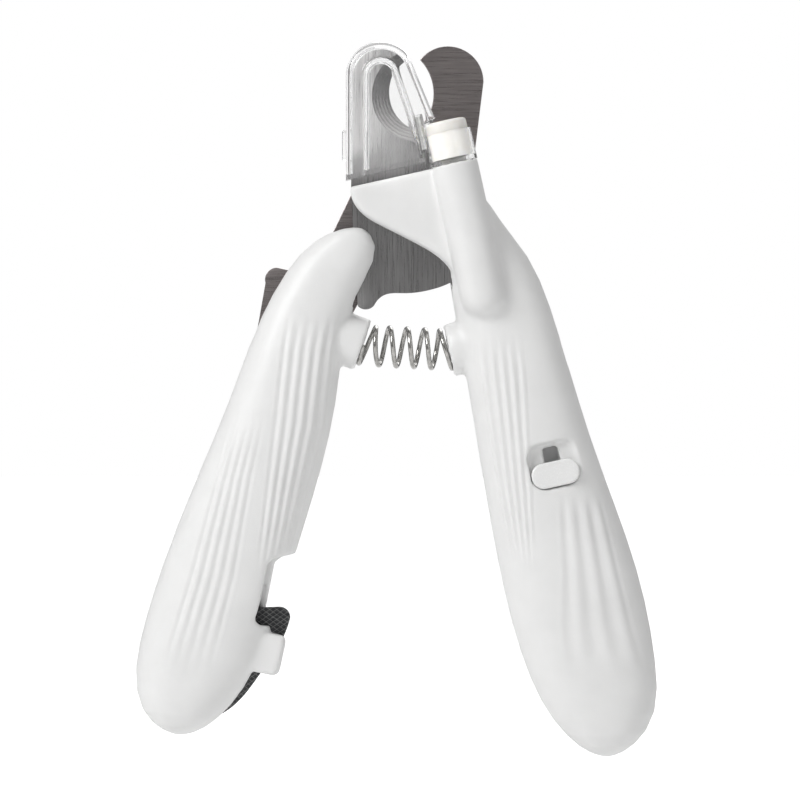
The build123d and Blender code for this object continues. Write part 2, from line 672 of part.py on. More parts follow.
def left_rear_shell():
    shell = left_half(1) + (boss(LEFT_BOSS_ANGLE, 1) & rear_room())
    cavity = left_cavity(1)
    for centre in LEFT_SCREWS + REAR_BLADE_SCREWS:
        cavity -= disc(centre, 3.4, 1.0, 12)
    cavity -= disc(FILE_PIN, 3.4, FILE_SLOT, 12)
    shell -= cavity
    shell -= finger_recess(RECESS_STEP)
    shell -= tang_pocket()
    shell -= file_sweep()
    shell -= disc(FILE_PIN, FILE_PIN_RADIUS + 0.01, -1, 5.0)
    shell -= Pos(-60, REST_PLANE + 10, -60) * Box(200, 20, 200)
    for centre in LEFT_SCREWS + REAR_BLADE_SCREWS:
        shell -= counterbore(centre, SCREW_SEAT)
    return shell.solids().sort_by(SortBy.VOLUME)[-1]


def file_pin():
    return disc(FILE_PIN, FILE_PIN_RADIUS, -4.9, 4.9)


def nail_file():
    blade = slab(file_outline(), -FILE_HALF, FILE_HALF)
    return blade - disc(FILE_PIN, FILE_PIN_RADIUS + 0.05, -1, 1)


PARTS = {
    "right_front_shell": right_front_shell,
    "right_rear_shell": right_rear_shell,
    "front_blade": front_blade,
    "pivot_screw": pivot_screw,
    "pivot_washer": pivot_washer,
    "pivot_nut": pivot_nut,
    "lamp_sleeve": lamp_sleeve,
    "lamp_lens": lamp_lens,
    "lamp_led": lamp_led,
    "lamp_board": lamp_board,
    "lamp_wires": lamp_wires,
    "switch_body": switch_body,
    "switch_knob": switch_knob,
    "battery_cells": battery_cells,
    "battery_contacts": battery_contacts,
    "battery_tray": battery_tray,
    "battery_door": battery_door,
    "battery_door_screw": battery_door_screw,
    "catcher_hinge_pin": catcher_hinge_pin,
    "return_spring": return_spring,
    "nail_catcher": nail_catcher,
    "left_front_shell": left_front_shell,
    "left_rear_shell": left_rear_shell,
    "rear_blade": rear_blade,
    "file_pin": file_pin,
    "nail_file": nail_file,
    "right_shell_screws": right_shell_screws,
    "front_blade_screws": front_blade_screws,
    "left_shell_screws": left_shell_screws,
    "rear_blade_screws": rear_blade_screws,
}


def middle_of_foot(shapes):
    """The middle of the box round all the shapes, at its lowest level."""
    boxes = [shape.bounding_box() for shape in shapes]
    low = [min(tuple(box.min)[axis] for box in boxes) for axis in range(3)]
    high = [max(tuple(box.max)[axis] for box in boxes) for axis in range(3)]
    return Vector((low[0] + high[0]) / 2, (low[1] + high[1]) / 2, low[2])


shapes = {name: make() for name, make in PARTS.items()}
origin = middle_of_foot(shapes.values())
print("origin from the pivot", origin)
os.makedirs("parts", exist_ok=True)
for name, shape in shapes.items():
    export_step(Pos(-origin.X, -origin.Y, -origin.Z) * shape, "parts/" + name + ".step")
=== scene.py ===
"""Looks of the pet nail trimmer: moulded white handles, brushed blades, clear catcher, coil spring."""

from math import cos, pi, radians, sin, tau

import bmesh
import bpy
import numpy as np
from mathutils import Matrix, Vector


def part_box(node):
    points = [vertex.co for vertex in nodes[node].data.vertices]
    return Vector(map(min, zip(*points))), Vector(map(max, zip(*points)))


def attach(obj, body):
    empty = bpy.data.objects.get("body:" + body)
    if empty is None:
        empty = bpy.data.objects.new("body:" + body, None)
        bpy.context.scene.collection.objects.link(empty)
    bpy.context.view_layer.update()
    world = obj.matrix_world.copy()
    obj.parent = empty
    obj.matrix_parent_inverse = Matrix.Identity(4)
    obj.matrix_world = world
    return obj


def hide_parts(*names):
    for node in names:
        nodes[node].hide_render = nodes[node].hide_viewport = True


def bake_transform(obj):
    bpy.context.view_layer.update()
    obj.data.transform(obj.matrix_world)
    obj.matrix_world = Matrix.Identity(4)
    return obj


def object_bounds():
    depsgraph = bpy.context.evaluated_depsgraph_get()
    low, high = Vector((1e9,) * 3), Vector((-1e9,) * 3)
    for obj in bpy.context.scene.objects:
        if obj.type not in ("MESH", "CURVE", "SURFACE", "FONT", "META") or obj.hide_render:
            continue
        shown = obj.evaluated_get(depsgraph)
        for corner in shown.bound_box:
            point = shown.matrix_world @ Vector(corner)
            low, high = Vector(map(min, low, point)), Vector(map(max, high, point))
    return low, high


MM = 0.001

# Lengths in this script are in millimetres about the blades' pivot until a mesh is made from them.
TILT = radians(12.5)         # lean of the right handle's head

# Handle skins
VOXEL = 0.38                 # grid of the remeshed handle shells
SOFTENING = 5                # rounds of relaxation that round every moulded edge
HALF_WAY = 0.5               # share of the way that a vertex moves in one round
SHOULDER_ROUNDS = 34         # further rounds where the head, the tube and the shoulder run together
FOLD_HEIGHT = 0.2            # half the height of the handles' shallow folds

# Nail file
FILE_VOXEL = 0.17
FILE_CUT = 0.07              # height of the file's teeth
CUT_LEAN = (2.1, 3.0)        # direction of the two rows of cuts, mirrored
CUT_PITCH = 0.32             # cuts for each unit along that direction

# Spring
COIL_RADIUS = 4.0
WIRE_RADIUS = 0.5
SPRING_REACH = 32.4          # the bosses' centres lie this far from the pivot
LEFT_BOSS_ANGLE = radians(250.4)
RIGHT_BOSS_ANGLE = radians(282.5)
LEFT_SEATED = 0.0            # how deep the end coils' wire lies below the bosses' faces
RIGHT_SEATED = 0.5
TURNS = 5.6
CLOSED_TURNS = 0.55          # flat turns at each end of the spring
CLOSED_RISE = 0.05           # share of the spring's length that they take
FIRST_TURN = 0.2             # the wire starts this much of a turn before the top
STEPS_PER_TURN = 48
LEAN_SPAN = (0.02, 0.2)      # shares of the length over which the coils stop leaning with a boss

# The front blade's bevel meets its front face on this circle
BEVEL_CENTRE = (0.41, 21.78)
BEVEL_RADIUS = 9.62
EDGE_ROUNDING = 0.12         # on both blades' sharp edges

# Clear catcher
CATCHER_LOW = 6.95           # its lower edge, along the tilted head
CATCHER_CENTRE = (-7.1, 25.6)
CATCHER_RADIUS = 7.35
CATCHER_WALL = 1.0
WINDOW_INSET = 3.85          # the raised window lies this far inside the catcher's outline
ARC_SAMPLES = 40
CATCHER_OUTSIDE = (          # how far in from the outline, and the depth there, from rim to top
    (0.0, -2.2), (0.0, -3.4), (0.0, -4.9), (0.1, -5.25), (0.35, -5.55), (0.7, -5.7), (1.1, -5.76),
    (3.0, -6.05), (3.3, -6.15), (3.5, -6.4), (3.62, -7.2), (3.75, -7.9), (3.9, -8.2), (4.15, -8.38),
    (4.5, -8.45))
CATCHER_INSIDE = (
    (1.0, -2.2), (1.0, -3.4), (1.05, -4.3), (1.3, -4.65), (1.7, -4.8), (3.9, -5.1), (4.35, -5.35),
    (4.55, -5.8), (4.65, -7.0), (4.9, -7.35), (5.2, -7.45))
CLAW_RELIEF = 1.1            # the rim is cut back this much where a claw goes in
FINGER_TAB = ((-15.25, -4.6, 7.9), (-13.7, -2.6, 14.5))
TAB_ROUNDING = 0.6
HINGE_ACROSS = 4.1           # the knuckle's axis, across the tilted head
HINGE_Y = -8.2
HINGE_ENDS = (5.0, 12.1, 16.8)   # start of the cleared room, then the knuckle's two ends
HINGE_ROOM = 1.6
KNUCKLE = 1.1

# Camera and floor
FLOOR_DROP = 45.0            # the closing handle and the swung-out file reach below the rest pose
FLOOR_REACH = 6.0            # metres
FLOOR_SIDES = 96
FLOOR_GLOW = 0.7             # added only where the camera sees the floor, so that it meets the background
FRAME_WIDTH = 168.0
FRAME_CENTRE = Vector((-3.15, 0.0, -42.0))
LENS = 200.0
SENSOR = 36.0

# Light. The offsets are metres from the object's middle
LIGHTS = (("key_light", (-0.6, -0.5, 0.5), 0.4, 4.8),
          ("fill_light", (0.6, -0.7, 0.1), 0.6, 0.7),
          ("back_light", (0.2, 0.8, 0.7), 0.7, 3.2))   # name, offset, diameter, watts
SKY = ((0.0, 0.5), (0.44, 0.24), (0.6, 0.42), (0.95, 1.0))   # height from nadir to zenith, brightness
SKY_STRENGTH = 0.66


# ---------------------------------------------------------------- shader nodes

class Shader:
    """A material's node tree, with coordinates in millimetres about the blades' pivot."""

    def __init__(self, name):
        self.material = bpy.data.materials.new(name)
        self.material.use_nodes = True
        self.tree = self.material.node_tree
        self.surface = self.tree.nodes["Principled BSDF"]
        source = self.tree.nodes.new("ShaderNodeTexCoord")
        shift = self.tree.nodes.new("ShaderNodeVectorMath")
        shift.operation = "SUBTRACT"
        shift.inputs[1].default_value = pivot
        self.link(source.outputs["Object"], shift.inputs[0])
        scale = self.tree.nodes.new("ShaderNodeVectorMath")
        scale.operation = "SCALE"
        scale.inputs["Scale"].default_value = 1 / MM
        self.link(shift.outputs[0], scale.inputs[0])
        self.place = scale.outputs[0]

    def link(self, start, end):
        self.tree.links.new(start, end)

    def put(self, value, socket):
        """Sets a socket from a number, a colour or another node's output."""
        if isinstance(value, bpy.types.NodeSocket):
            self.link(value, socket)
        else:
            socket.default_value = value

    def stretch(self, scale, turn=(0.0, 0.0, 0.0)):
        node = self.tree.nodes.new("ShaderNodeMapping")
        node.inputs["Rotation"].default_value = turn
        node.inputs["Scale"].default_value = scale
        self.link(self.place, node.inputs["Vector"])
        return node.outputs["Vector"]

    def noise(self, vector, scale, detail=2.0, rough=0.5):
        node = self.tree.nodes.new("ShaderNodeTexNoise")
        self.link(vector, node.inputs["Vector"])
        node.inputs["Scale"].default_value = scale
        node.inputs["Detail"].default_value = detail
        node.inputs["Roughness"].default_value = rough
        return node.outputs["Fac"]

    def math(self, operation, first, second=0.0, third=0.0):
        node = self.tree.nodes.new("ShaderNodeMath")
        node.operation = operation
        for value, socket in zip((first, second, third), node.inputs):
            self.put(value, socket)
        return node.outputs[0]

    def spread(self, value, low, high, start=0.3, end=0.7):
        """Maps a value from start..end to low..high, held at the ends."""
        node = self.tree.nodes.new("ShaderNodeMapRange")
        for name, number in (("From Min", start), ("From Max", end), ("To Min", low), ("To Max", high)):
            node.inputs[name].default_value = number
        self.link(value, node.inputs["Value"])
        return node.outputs["Result"]

    def ramp(self, value, *stops):
        node = self.tree.nodes.new("ShaderNodeValToRGB")
        ramp = node.color_ramp
        while len(ramp.elements) < len(stops):
            ramp.elements.new(0.5)
        for element, (at, colour) in zip(ramp.elements, stops):
            element.position = at
            element.color = (*colour, 1.0)
        self.link(value, node.inputs["Fac"])
        return node.outputs["Color"]

    def mix(self, share, first, second):
        node = self.tree.nodes.new("ShaderNodeMix")
        node.data_type = "RGBA"
        self.put(share, node.inputs[0])
        self.put(first, node.inputs[6])
        self.put(second, node.inputs[7])
        return node.outputs[2]

    def part(self, vector, axis):
        node = self.tree.nodes.new("ShaderNodeSeparateXYZ")
        self.link(vector, node.inputs[0])
        return node.outputs[axis]

    def bump(self, height, depth):
        """Bump whose full height is the given depth in millimetres."""
        node = self.tree.nodes.new("ShaderNodeBump")
        node.inputs["Strength"].default_value = 1.0
        node.inputs["Distance"].default_value = depth * MM
        self.link(height, node.inputs["Height"])
        self.link(node.outputs["Normal"], self.surface.inputs["Normal"])

    def set(self, **values):
        for name, value in values.items():
            self.put(value, self.surface.inputs[name.replace("_", " ")])


def moulded(name, dark, light, rough, grain=0.02):
    """Injection-moulded plastic: faint mottling, uneven sheen and a fine spark-eroded grain."""
    shader = Shader(name)
    cloud = shader.noise(shader.place, 0.16, 3.0)
    fine = shader.noise(shader.place, 3.2, 4.0, 0.6)
    shader.set(Base_Color=shader.ramp(cloud, (0.3, dark), (0.7, light)),
               Roughness=shader.spread(fine, rough - 0.06, rough + 0.07),
               IOR=1.5)
    shader.bump(fine, grain)
    return shader.material


def brushed(name, dark, light, along, rough, centre=None):
    """Satin-ground steel, brushed along one axis. With a centre, reflections are painted on the hook."""
    shader = Shader(name)
    scale = [7.0, 7.0, 7.0]
    scale[along] = 0.12
    lines = shader.noise(shader.stretch(scale), 1.0, 6.0, 0.62)
    scale[along] = 0.03
    streaks = shader.noise(shader.stretch([0.35 * n for n in scale]), 1.0, 3.0, 0.5)
    cloud = shader.noise(shader.place, 0.09, 2.0)
    tone = shader.math("ADD", shader.math("MULTIPLY", lines, 0.55), shader.math("MULTIPLY", streaks, 0.45))
    tone = shader.math("ADD", tone, shader.math("MULTIPLY_ADD", cloud, 0.35, -0.175))
    if centre:   # painted: stands for a bright reflection on the back of the hook
        back = shader.math("MULTIPLY", shader.spread(shader.part(shader.place, 0), 0.42, 0.0, -13.0, 1.0),
                           shader.spread(shader.part(shader.place, 2), 0.0, 1.0, 5.0, 11.0))
        tone = shader.math("ADD", tone, back)
    # the brightest stop is the colour of the painted reflection, and is reached mainly where it is added
    colour = shader.ramp(tone, (0.28, dark), (0.72, light), (0.95, tuple(1.9 * n for n in light)))
    height = lines
    roughness = shader.spread(lines, rough - 0.07, rough + 0.1)
    if centre:
        x = shader.math("SUBTRACT", shader.part(shader.place, 0), centre[0])
        z = shader.math("SUBTRACT", shader.part(shader.place, 2), centre[1])
        reach = shader.math("SQRT", shader.math("ADD", shader.math("MULTIPLY", x, x),
                                                shader.math("MULTIPLY", z, z)))
        rings = shader.math("ADD", shader.math("MULTIPLY", reach, 9.0),
                            shader.math("MULTIPLY", shader.noise(shader.place, 0.8, 2.0), 2.0))
        wave = shader.math("MULTIPLY_ADD", shader.math("SINE", rings), 0.12, 0.5)
        ground = shader.spread(reach, 1.0, 0.0, BEVEL_RADIUS - 0.1, BEVEL_RADIUS)
        # painted reflection: the bevel is dark beside the opening and lighter below it, over its grind rings
        sheen = shader.math("ADD", wave, shader.spread(z, 0.3, -0.4, -8.0, 0.0))
        ground_tone = shader.ramp(sheen, (0.15, tuple(0.3 * n for n in dark)),
                                  (1.0, tuple(2.6 * n for n in dark)))
        colour = shader.mix(ground, colour, ground_tone)
        height = shader.math("ADD", height, shader.math("MULTIPLY", ground, wave))
    shader.set(Base_Color=colour, Metallic=1.0, Roughness=roughness, Anisotropic=0.35)
    shader.bump(height, 0.006)
    return shader.material


def turned(name, dark, light, rough):
    """Plated or drawn metal with faint smudges and fine scratches."""
    shader = Shader(name)
    smudge = shader.noise(shader.place, 0.7, 3.0)
    fine = shader.noise(shader.place, 9.0, 4.0)
    shader.set(Base_Color=shader.ramp(smudge, (0.3, dark), (0.7, light)), Metallic=1.0,
               Roughness=shader.spread(fine, rough - 0.05, rough + 0.08))
    shader.bump(fine, 0.004)
    return shader.material


def diamond_file(name):
    """Dark steel with a crosshatch of diamonds, their crests worn bright."""
    shader = Shader(name)
    x, z = shader.part(shader.place, 0), shader.part(shader.place, 2)
    waves = []
    for lean in (1.0, -1.0):
        slope = shader.math("ADD", shader.math("MULTIPLY", x, CUT_LEAN[0]),
                            shader.math("MULTIPLY", z, CUT_LEAN[1] * lean))
        turn = shader.math("FRACT", shader.math("MULTIPLY", slope, CUT_PITCH))
        saw = shader.math("ABSOLUTE", shader.math("SUBTRACT", turn, 0.5))
        waves.append(shader.math("MULTIPLY", saw, 2.0))
    crest = shader.math("MAXIMUM", waves[0], waves[1])
    worn = shader.noise(shader.place, 0.9, 3.0)
    edge = shader.spread(shader.math("ADD", crest, shader.math("MULTIPLY", worn, 0.12)), 0.0, 1.0, 0.93, 1.03)
    shader.set(Base_Color=shader.mix(edge, shader.ramp(worn, (0.3, (0.045, 0.046, 0.048)),
                                                       (0.7, (0.075, 0.076, 0.078))),
                                     (0.3, 0.3, 0.295, 1.0)),
               Metallic=1.0, Roughness=shader.spread(worn, 0.36, 0.5))
    shader.bump(worn, 0.02)
    return shader.material


def clear_plastic(name):
    """Clear styrene with slight haze and fine handling scratches; light falls through it."""
    shader = Shader(name)
    haze = shader.noise(shader.place, 0.35, 3.0)
    scratch = shader.noise(shader.stretch((6.0, 6.0, 0.5), turn=(0.0, 0.35, 0.0)), 1.0, 3.0)
    shader.set(Base_Color=shader.ramp(haze, (0.3, (0.9, 0.9, 0.9)), (0.7, (0.93, 0.93, 0.93))),
               Transmission_Weight=0.96, IOR=1.42, Roughness=shader.spread(scratch, 0.0, 0.06, 0.45, 0.8))
    shader.bump(haze, 0.02)
    through = shader.tree.nodes.new("ShaderNodeBsdfTransparent")
    through.inputs["Color"].default_value = (0.96, 0.96, 0.96, 1.0)
    path = shader.tree.nodes.new("ShaderNodeLightPath")
    mixed = shader.tree.nodes.new("ShaderNodeMixShader")
    shader.link(path.outputs["Is Shadow Ray"], mixed.inputs["Fac"])
    shader.link(shader.surface.outputs[0], mixed.inputs[1])
    shader.link(through.outputs[0], mixed.inputs[2])
    shader.link(mixed.outputs[0], shader.tree.nodes["Material Output"].inputs["Surface"])
    return shader.material


def frosted_lens(name):
    """Cream light-diffusing plastic."""
    shader = Shader(name)
    cloud = shader.noise(shader.place, 0.5, 3.0)
    grain = shader.noise(shader.place, 6.0, 3.0)
    shader.set(Base_Color=shader.ramp(cloud, (0.3, (0.86, 0.84, 0.80)), (0.7, (0.91, 0.895, 0.86))),
               Roughness=shader.spread(grain, 0.34, 0.5), Subsurface_Weight=0.25,
               Subsurface_Radius=(1.2, 1.0, 0.7), Subsurface_Scale=MM, Coat_Weight=0.15)
    shader.bump(grain, 0.01)
    return shader.material


def lamp_epoxy(name):
    """Water-clear resin of the lamp, faintly warm."""
    shader = Shader(name)
    swirl = shader.noise(shader.place, 0.8, 2.0)
    shader.set(Base_Color=shader.ramp(swirl, (0.3, (0.95, 0.95, 0.88)), (0.7, (0.98, 0.98, 0.93))),
               Transmission_Weight=0.85, IOR=1.54, Roughness=shader.spread(swirl, 0.05, 0.12))
    return shader.material


def circuit_board(name):
    """Green solder mask with tinned pads showing through in rings."""
    shader = Shader(name)
    weave = shader.noise(shader.place, 4.0, 3.0)
    x, z = shader.part(shader.place, 0), shader.part(shader.place, 2)
    grid = shader.math("MULTIPLY", shader.math("SINE", shader.math("MULTIPLY", x, 2.4)),
                       shader.math("SINE", shader.math("MULTIPLY", z, 2.4)))
    pad = shader.spread(grid, 0.0, 1.0, 0.7, 0.78)
    mask = shader.ramp(weave, (0.3, (0.01, 0.1, 0.03)), (0.7, (0.02, 0.17, 0.05)))
    shader.set(Base_Color=shader.mix(pad, mask, (0.7, 0.7, 0.68, 1.0)), Metallic=pad, Roughness=0.35)
    shader.bump(pad, 0.03)
    return shader.material


# ---------------------------------------------------------------- mesh work

def new_piece(name, mesh):
    """An object for the mesh, linked to the scene."""
    piece = bpy.data.objects.new(name, mesh)
    bpy.context.scene.collection.objects.link(piece)
    return piece


def positions(mesh):
    points = np.empty(len(mesh.vertices) * 3)
    mesh.vertices.foreach_get("co", points)
    return points.reshape(-1, 3)


def set_positions(mesh, points):
    mesh.vertices.foreach_set("co", points.ravel())
    mesh.update()


def local(mesh):
    """The mesh's points in millimetres about the pivot."""
    return (positions(mesh) - np.array(pivot)) / MM


def set_local(mesh, points):
    """Puts back points given in millimetres about the pivot."""
    set_positions(mesh, points * MM + np.array(pivot))


def tilted(across, along):
    """A point of the tilted head, as (x, z)."""
    return (across * cos(TILT) - along * sin(TILT), across * sin(TILT) + along * cos(TILT))


def normals(mesh):
    values = np.empty(len(mesh.vertices) * 3)
    mesh.vertices.foreach_get("normal", values)
    return values.reshape(-1, 3)


def smoothstep(value, low, high):
    t = np.clip((value - low) / (high - low), 0.0, 1.0)
    return t * t * (3.0 - 2.0 * t)


def relax(mesh, share, rounds):
    """Moves each vertex towards the mean of its neighbours by its share, round after round."""
    points = positions(mesh)
    ends = np.empty(len(mesh.edges) * 2, int)
    mesh.edges.foreach_get("vertices", ends)
    first, second = ends.reshape(-1, 2).T
    count = np.bincount(ends, minlength=len(points))
    for _ in range(rounds):
        for axis in range(3):
            value = points[:, axis]
            total = np.bincount(first, value[second], len(points))
            total += np.bincount(second, value[first], len(points))
            points[:, axis] = value + share * (total / count - value)
    set_positions(mesh, points)


def remeshed(node, voxel):
    """An even grid of quads over a CAD node's surface."""
    source = new_piece("remesh_source", nodes[node].data.copy())
    modifier = source.modifiers.new("voxels", "REMESH")
    modifier.mode = "VOXEL"
    modifier.voxel_size = voxel * MM
    graph = bpy.context.evaluated_depsgraph_get()
    mesh = bpy.data.meshes.new_from_object(source.evaluated_get(graph))
    bpy.data.objects.remove(source)
    mesh.materials.clear()
    return mesh


def fan(x, z, outer, inner, folds, fade):
    """Height of a fan of folds between two guide lines, fading at its ends; all in millimetres.

    A guide is a list of (z, x) going up; fade is the z where it starts, is full, is full, ends."""
    left = np.interp(z, *zip(*outer))
    right = np.interp(z, *zip(*inner))
    q = (x - left) / (right - left)
    inside = smoothstep(q, -0.02, 0.1) * (1.0 - smoothstep(q, 0.9, 1.02))
    along = smoothstep(z, fade[0], fade[1]) * (1.0 - smoothstep(z, fade[2], fade[3]))
    return np.cos(tau * folds * q) * inside * along


def left_folds(x, z):
    inner = fan(x, z, [(-82.0, -34.0), (-68.2, -32.3), (-31.5, -28.4), (-24.0, -27.4)],
                [(-82.0, -27.0), (-68.2, -23.9), (-47.2, -18.4), (-31.5, -16.6), (-24.0, -15.0)],
                5.5, (-79.0, -66.0, -33.0, -23.0))
    outer = fan(x, z, [(-101.0, -54.4), (-93.0, -51.9), (-78.7, -47.5), (-57.7, -41.8), (-46.0, -38.6)],
                [(-101.0, -42.2), (-93.0, -40.2), (-78.7, -36.6), (-57.7, -33.2), (-46.0, -30.6)],
                5.0, (-101.0, -84.0, -60.0, -44.0))
    return inner + 0.85 * outer


def right_folds(x, z):
    inner = fan(x, z, [(-80.0, 20.4), (-73.5, 19.0), (-57.7, 15.8), (-36.7, 12.5), (-26.0, 11.6)],
                [(-80.0, 25.4), (-57.7, 24.5), (-36.7, 23.5), (-26.0, 22.3)],
                5.5, (-79.0, -66.0, -38.0, -27.0))
    outer = fan(x, z, [(-102.0, 31.0), (-89.2, 29.6), (-78.7, 30.0), (-60.0, 29.4)],
                [(-102.0, 49.6), (-89.2, 45.8), (-78.7, 43.0), (-60.0, 38.4)],
                3.5, (-101.0, -90.0, -67.0, -61.0))
    return inner + outer


def skin(name, node, body, material, folds=None, shoulder=False):
    """A handle shell with its moulded edges rounded and, in front, its folds raised."""
    mesh = remeshed(node, VOXEL)
    relax(mesh, HALF_WAY, SOFTENING)
    if shoulder:
        points, facing = local(mesh), normals(mesh)[:, 1]
        along = -points[:, 0] * sin(TILT) + points[:, 2] * cos(TILT)
        share = (1.0 - smoothstep(along, -1.5, 3.5)) * smoothstep(points[:, 2], -46.0, -38.0)
        share *= smoothstep(-facing, 0.0, 0.25) * (1.0 - smoothstep(points[:, 1], -3.6, -2.6))
        relax(mesh, HALF_WAY * share, SHOULDER_ROUNDS)
    if folds:
        points, facing = local(mesh), normals(mesh)
        outside = smoothstep(-facing[:, 1], 0.1, 0.45) * (1.0 - smoothstep(points[:, 1], -5.2, -4.2))
        height = folds(points[:, 0], points[:, 2]) * outside * FOLD_HEIGHT
        set_local(mesh, points + facing * height[:, None])
    mesh.shade_smooth()
    mesh.materials.append(material)
    return stand_in(new_piece(name, mesh), body, node)


def stand_in(piece, body, node):
    """Puts a finished piece on its body in place of a CAD node."""
    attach(piece, body)
    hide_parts(node)
    return piece


def cut_file(material):
    """The file's plate with a crosshatch of teeth raised on both faces."""
    mesh = remeshed("nail_file", FILE_VOXEL)
    relax(mesh, HALF_WAY, 1)
    points, facing = local(mesh), normals(mesh)
    waves = []
    for lean in (1.0, -1.0):
        slope = (CUT_LEAN[0] * points[:, 0] + CUT_LEAN[1] * lean * points[:, 2]) * CUT_PITCH
        waves.append(np.abs(slope - np.floor(slope) - 0.5) * 2.0)
    height = np.maximum(*waves) ** 2 * smoothstep(np.abs(facing[:, 1]), 0.6, 0.9) * FILE_CUT
    set_local(mesh, points + facing * height[:, None])
    mesh.shade_smooth()
    mesh.materials.append(material)
    return stand_in(new_piece("diamond_cut_file", mesh), "nail_file", "nail_file")


def polished(name, node, body, material):
    """A CAD piece with its sharp edges broken by a small rounded bevel."""
    mesh = nodes[node].data.copy()
    mesh.materials.clear()
    work = bmesh.new()
    work.from_mesh(mesh)
    bmesh.ops.remove_doubles(work, verts=work.verts, dist=0.002 * MM)
    bmesh.ops.dissolve_limit(work, angle_limit=radians(0.5), verts=work.verts, edges=work.edges)
    sharp = [e for e in work.edges if len(e.link_faces) == 2 and e.calc_face_angle() > radians(32)]
    bmesh.ops.bevel(work, geom=sharp, offset=EDGE_ROUNDING * MM, offset_type="OFFSET", segments=2,
                    profile=0.5, affect="EDGES", clamp_overlap=True)
    bmesh.ops.triangulate(work, faces=[f for f in work.faces if len(f.verts) > 4])
    work.to_mesh(mesh)
    work.free()
    mesh.shade_smooth()
    mesh.set_sharp_from_angle(angle=radians(18))
    mesh.materials.append(material)
    return stand_in(new_piece(name, mesh), body, node)


def evenly(start, end, count):
    """Points from start towards end, without the end."""
    return [(start[0] + (end[0] - start[0]) * k / count, start[1] + (end[1] - start[1]) * k / count)
            for k in range(count)]


def catcher_ring(inset, depth, wall):
    """One closed contour of the catcher: its outline moved inwards, at a depth."""
    share = inset / WINDOW_INSET
    radius = CATCHER_RADIUS - inset
    left = CATCHER_CENTRE[0] - radius
    low = CATCHER_LOW + wall
    arc_end = radians(40.8 - 18.8 * share)
    arc_last = (CATCHER_CENTRE[0] + radius * cos(arc_end), CATCHER_CENTRE[1] + radius * sin(arc_end))
    slope_end = (4.12 - 3.07 * share, 16.9 - 4.5 * share)
    step = tilted(4.15 - 0.45 * share, 14.9 - 3.4 * share)
    foot = tilted(3.9 - 0.2 * share - wall, low)
    left_foot = (left, (low + left * sin(TILT)) / cos(TILT))
    contour = evenly(left_foot, (left, CATCHER_CENTRE[1]), 10)
    for k in range(ARC_SAMPLES):
        angle = pi + (arc_end - pi) * k / ARC_SAMPLES
        contour.append((CATCHER_CENTRE[0] + radius * cos(angle), CATCHER_CENTRE[1] + radius * sin(angle)))
    contour += evenly(arc_last, slope_end, 12)
    contour += evenly(slope_end, step, 4)
    contour += evenly(step, foot, 8)
    contour += evenly(foot, left_foot, 14)
    return [Vector((x, depth, z)) for x, z in contour]


def cylinder(start, end, radius, sides=40):
    """A closed round bar between two points, for joining to or cutting from a mesh."""
    work = bmesh.new()
    axis = (end - start).normalized()
    side = axis.orthogonal().normalized()
    up = axis.cross(side)
    rings = []
    for centre in (start, end):
        spokes = [side * cos(tau * n / sides) + up * sin(tau * n / sides) for n in range(sides)]
        rings.append([work.verts.new(mm_point(centre + spoke * radius)) for spoke in spokes])
    for n in range(sides):
        work.faces.new((rings[0][n], rings[0][(n + 1) % sides], rings[1][(n + 1) % sides], rings[1][n]))
    work.faces.new(rings[0][::-1])
    work.faces.new(rings[1])
    bmesh.ops.recalc_face_normals(work, faces=work.faces)
    mesh = bpy.data.meshes.new("bar")
    work.to_mesh(mesh)
    work.free()
    return new_piece("bar", mesh)


def mm_point(point):
    """A point given in millimetres about the pivot, in the frame's metres."""
    return Vector(point) * MM + pivot


def rounded_block(low, high, radius):
    """A box between two corners with rounded edges."""
    work = bmesh.new()
    bmesh.ops.create_cube(work, size=1.0)
    for vertex in work.verts:
        share = vertex.co + Vector((0.5, 0.5, 0.5))
        vertex.co = mm_point([a + (b - a) * t for a, b, t in zip(low, high, share)])
    bmesh.ops.bevel(work, geom=work.edges[:], offset=radius * MM, segments=4, profile=0.5, affect="EDGES")
    mesh = bpy.data.meshes.new("block")
    work.to_mesh(mesh)
    work.free()
    return new_piece("block", mesh)


def combined(piece, *steps):
    """The piece after joining other solids to it or cutting them from it, one after another."""
    for operation, other in steps:
        modifier = piece.modifiers.new(operation, "BOOLEAN")
        modifier.operation = operation
        modifier.solver = "EXACT"
        modifier.object = other
    graph = bpy.context.evaluated_depsgraph_get()
    mesh = bpy.data.meshes.new_from_object(piece.evaluated_get(graph))
    piece.modifiers.clear()
    piece.data = mesh
    for _, other in steps:
        bpy.data.objects.remove(other)
    return piece


